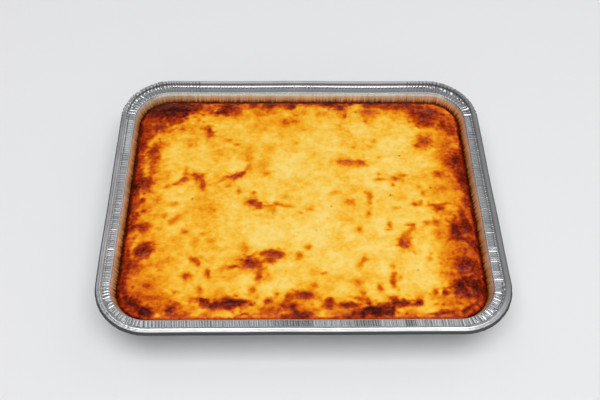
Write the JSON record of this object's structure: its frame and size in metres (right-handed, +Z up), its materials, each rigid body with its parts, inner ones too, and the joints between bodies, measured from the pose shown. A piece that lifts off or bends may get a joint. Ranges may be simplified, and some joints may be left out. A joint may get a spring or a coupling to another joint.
{
  "type": "foil tray meal",
  "caption": "Shallow oblong foil tray filled with a cheese-topped oven bake, browned and blistered on top, ready to carry or serve.",
  "frame": {"origin": "middle of the tray's flat underside", "axes": "+X along the tray, +Y across it to the back, +Z up"},
  "size_m": [0.322, 0.262, 0.038],
  "materials": {
    "foil": "bright pressed foil, finely crimped on the flange and wrinkled on the walls",
    "bake_top": "baked cheese sauce, pale yellow in the middle, golden to dark brown at the edges, with glossy browned blisters"
  },
  "bodies": {
    "root": {"tray": "foil", "bake": "bake_top"}
  },
  "joints": []
}
